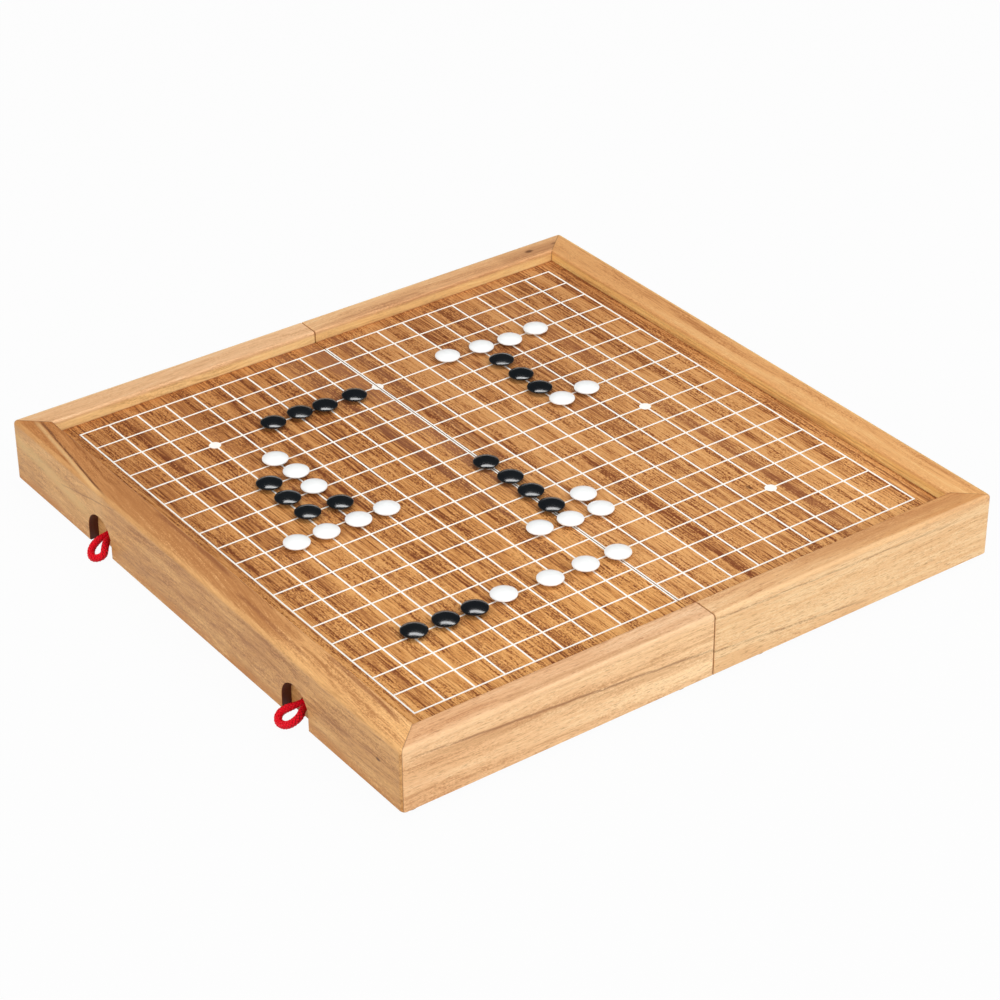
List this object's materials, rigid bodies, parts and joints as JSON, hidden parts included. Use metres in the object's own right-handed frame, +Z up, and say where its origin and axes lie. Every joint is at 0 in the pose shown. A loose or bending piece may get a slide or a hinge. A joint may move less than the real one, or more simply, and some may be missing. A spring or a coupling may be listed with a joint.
{
  "type": "weiqi set",
  "caption": "Folding wooden weiqi board case with a raised mitred rim, white printed grid, arched side pockets, red cord loops and glossy black and white stones laid out in play.",
  "frame": {"origin": "middle of the open board, on the plane that the felt pads stand on", "axes": "+X along the seam from the back end to the front end, +Y across the seam towards the half without cord loops, +Z up"},
  "size_m": [0.422, 0.4324, 0.044],
  "materials": {
    "rail_wood": "clear satin lacquer on honey-coloured wood, straight grain along each rail",
    "panel_wood": "satin lacquer on red-brown striped wood, grain along the seam",
    "white_print": "screen-printed white lines and star points",
    "turned_pegs": "turned wood, satin lacquer",
    "felt": "dense brown felt",
    "steel": "bright steel",
    "brass": "polished brass",
    "red_cord": "glossy braided synthetic cord",
    "black_stone": "polished black",
    "white_stone": "polished white"
  },
  "bodies": {
    "near_half": {"near_side_rail": "rail_wood", "near_front_rail": "rail_wood", "near_back_rail": "rail_wood", "near_hinge_rail": "rail_wood", "near_divider": "rail_wood", "near_panel": "panel_wood", "near_grid": "white_print", "near_pads": "felt", "near_hinge_screws": "steel", "loop_front": "red_cord", "loop_back": "red_cord", "hinge_back_near_leaf": "brass", "hinge_back_pin": "steel", "hinge_front_near_leaf": "brass", "hinge_front_pin": "steel"},
    "far_half": {"far_side_rail": "rail_wood", "far_front_rail": "rail_wood", "far_back_rail": "rail_wood", "far_hinge_rail": "rail_wood", "far_divider": "rail_wood", "far_panel": "panel_wood", "far_grid": "white_print", "far_pads": "felt", "far_hinge_screws": "steel", "far_pegs": "turned_pegs", "hinge_back_far_leaf": "brass", "hinge_front_far_leaf": "brass"},
    "near_black_stones": {"stones_black_back_line": "black_stone", "stones_black_left_hook": "black_stone", "stones_black_seam_line": "black_stone", "stones_black_front_line": "black_stone"},
    "near_white_stones": {"stones_white_left_line": "white_stone", "stones_white_middle_line": "white_stone", "stones_white_seam_pair": "white_stone", "stones_white_front_line": "white_stone"},
    "far_black_stones": {"stones_black_far_line": "black_stone"},
    "far_white_stones": {"stones_white_back_line": "white_stone", "stones_white_far_pair": "white_stone", "stones_white_right_pair": "white_stone"}
  },
  "joints": [
    {"name": "board_fold", "type": "hinge", "parent": "near_half", "child": "far_half", "pos_m": [0, 0, 0.0015], "axis": [-1, 0, 0], "range_deg": [0, 179.4]},
    {"name": "near_black_lift", "type": "slide", "parent": "near_half", "child": "near_black_stones", "axis": [0, 0, 1], "range_m": [0, 0.08]},
    {"name": "near_white_lift", "type": "slide", "parent": "near_half", "child": "near_white_stones", "axis": [0, 0, 1], "range_m": [0, 0.08]},
    {"name": "far_black_lift", "type": "slide", "parent": "far_half", "child": "far_black_stones", "axis": [0, 0, 1], "range_m": [0, 0.08]},
    {"name": "far_white_lift", "type": "slide", "parent": "far_half", "child": "far_white_stones", "axis": [0, 0, 1], "range_m": [0, 0.08]}
  ]
}
